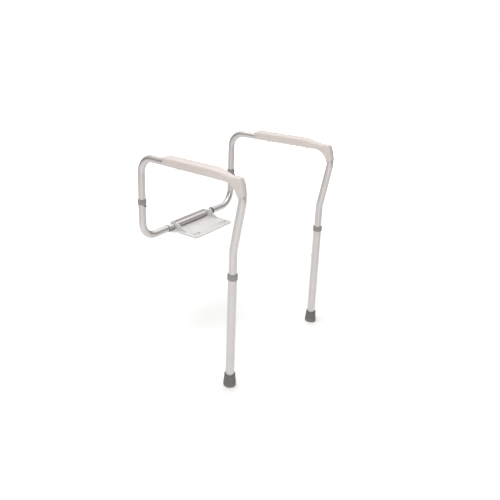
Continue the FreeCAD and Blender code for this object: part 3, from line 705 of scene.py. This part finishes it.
def make_foot(side, materials):
    """Flared rubber tip: ring treads below, a base rim, a rolled mouth and a blind bore."""
    node = "foot_tip_" + side
    at, low, top, base = upright(node)
    bore = LEG_TUBE / 2 + GRIP_PLAY
    floor = low + 10 * MM
    tread = corners_from(0, low, ((0, 0, 0), (7, 0, 0.5), (7.6, 2.2, 0.4), (10.6, 2.2, 0.4), (11.2, 0, 0.5),
                                  (14.2, 0, 0.5), (14.8, 1.8, 0.4), (16.6, 1.8, 0.4), (17.2, 0, 0.5)))
    rim = corners_from(base, low, ((-0.3, 0, 1.2), (0, 3.8, 0.7), (-0.9, 4.3, 0.3), (-0.5, 5.0, 0.3),
                                   (-0.2, 11, 5)))
    neck = base - 3.2 * MM
    mouth = corners_from(neck, top, ((0, -5, 2), (-0.1, -3.6, 0.5), (0.6, -3.0, 0.5), (0.6, 0, 1.3)))
    inside = [(bore, top, 1.0 * MM), (bore, floor, 0.5 * MM), (0, floor, 0)]
    shape = bmesh.new()
    lathe(shape, at, densified(rounded(tread + rim + mouth + inside)), 216)
    bmesh.ops.remove_doubles(shape, verts=shape.verts, dist=1e-7)
    mesh = shape_to_mesh("foot_rubber_" + side, shape)
    add_piece("foot_rubber_" + side, mesh, "leg_" + side, materials["foot"], "foot", node)


def make_collar(node, body, bore, sleeve, name, materials):
    """Plastic collar: a sleeve round the outer tube, a shoulder on its end and a groove near the top."""
    at, low, top, wide = upright(node)
    shoulder = top - 3 * MM
    foot = [(sleeve, low, 0.4 * MM)] + corners_from(wide, low, ((-0.5, 0, 0.7), (0, 2.6, 1)))
    groove = corners_from(wide, top, ((0, -5.6, 0.3), (-0.45, -5.2, 0.2), (-0.45, -4.4, 0.2), (0, -4.0, 0.3)))
    mouth = [(wide, top, 1.8 * MM), (bore, top, 0.5 * MM), (bore, shoulder, 0), (sleeve, shoulder, 0)]
    shape = bmesh.new()
    lathe(shape, at, rounded(foot + groove + mouth), 120)
    mesh = shape_to_mesh(name, shape)
    add_piece(name, mesh, body, materials["collar"], "collar", node)


# ---------------------------------------------------------------- pieces made from CAD pieces

WELD = 2e-6                     # points nearer than this are one
FLAT = math.radians(0.5)        # faces that meet at less than this are one
SHARP = math.radians(35)        # edges with more than this get a round


def bevelled(shape, edges, offset, segments, profile):
    bmesh.ops.bevel(shape, geom=edges, offset=offset, segments=segments, profile=profile, affect="EDGES",
                    clamp_overlap=True)


def softened(node, offset, chosen=None, wide=0):
    """A copy of a CAD piece with its sharp edges rounded; chosen edges get a wider round first."""
    shape = bmesh.new()
    shape.from_mesh(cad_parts[node].data)
    bmesh.ops.remove_doubles(shape, verts=shape.verts, dist=WELD)
    bmesh.ops.dissolve_limit(shape, angle_limit=FLAT, verts=shape.verts, edges=shape.edges)
    if chosen:
        bevelled(shape, [edge for edge in shape.edges if chosen(edge)], wide, 6, 0.5)
    sharp = [edge for edge in shape.edges if len(edge.link_faces) == 2 and edge.calc_face_angle() > SHARP]
    bevelled(shape, sharp, offset, 2, 0.6)
    return shape_to_mesh("soft_" + node, shape)


def make_softened(materials):
    """Small parts: CAD node, body, finish, slot and how round their edges are."""
    plans = [("crossbar_rivets", "base", "steel", "steel", 0.25 * MM)]
    for side in SIDES:
        plans += [("rear_tube_bush_" + side, "rear_" + side, "bush", "collar", 0.3 * MM),
                  ("rear_lock_clip_" + side, "rear_" + side, "tube", "steel", 0.15 * MM),
                  ("rear_lock_pin_" + side, "lock_pin_" + side, "collar", "collar", 0.25 * MM),
                  ("front_button_" + side, "leg_snap_" + side, "steel", "steel", 0.15 * MM),
                  ("insert_rivet_" + side, "arm_" + side, "steel", "steel", 0.15 * MM),
                  ("armrest_screws_" + side, "arm_" + side, "steel", "steel", 0.2 * MM)]
    for node, body, paint, slot, offset in plans:
        add_piece(node + "_soft", softened(node, offset), body, materials[paint], slot, node)


def make_bracket(materials):
    low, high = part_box("mounting_bracket")

    def rear_fold(edge):
        """The lower rear edge, where the sheet is folded up."""
        return all(abs(v.co.y - high[1]) < 1e-5 and abs(v.co.z - low[2]) < 1e-5 for v in edge.verts)

    mesh = softened("mounting_bracket", 0.45 * MM, rear_fold, 3.2 * MM)
    add_piece("bracket_plate", mesh, "base", materials["bracket"], "bracket", "mounting_bracket")
    mesh = softened("bracket_pad", 0.3 * MM)
    add_piece("bracket_rubber", mesh, "base", materials["rubber"], "rubber", "bracket_pad")


def paint_cad_nodes(materials):
    """Every CAD piece that stays gets its finish."""
    paints = {"crossbar": "tube_across"}
    finishes = {"tube": ("rear_tube_", "arm_tube_", "front_leg_", "arm_insert_"),
                "nylon": ("crossbar_glide_", "leg_glide_"),
                "steel": ("width_snap_clip_", "front_spring_", "foot_washer_")}
    for paint, stems in finishes.items():
        paints.update({stem + side: paint for stem in stems for side in SIDES})
    for node, paint in paints.items():
        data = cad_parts[node].data
        data.materials.clear()
        data.materials.append(materials[paint])


# ---------------------------------------------------------------- the whole scene

def main():
    make_camera()
    make_lights()
    make_floor()
    materials = make_materials()
    paint_cad_nodes(materials)
    make_bracket(materials)
    make_softened(materials)
    for side in SIDES:
        make_armrest(Arm(side), materials)
        make_foot(side, materials)
        make_collar("rear_collar_" + side, "rear_" + side, INSERT_TUBE / 2 + GRIP_PLAY, TUBE / 2,
                    "rear_collar_moulding_" + side, materials)
        make_collar("front_collar_" + side, "leg_" + side, TUBE / 2 + GRIP_PLAY, LEG_TUBE / 2,
                    "front_collar_moulding_" + side, materials)


main()
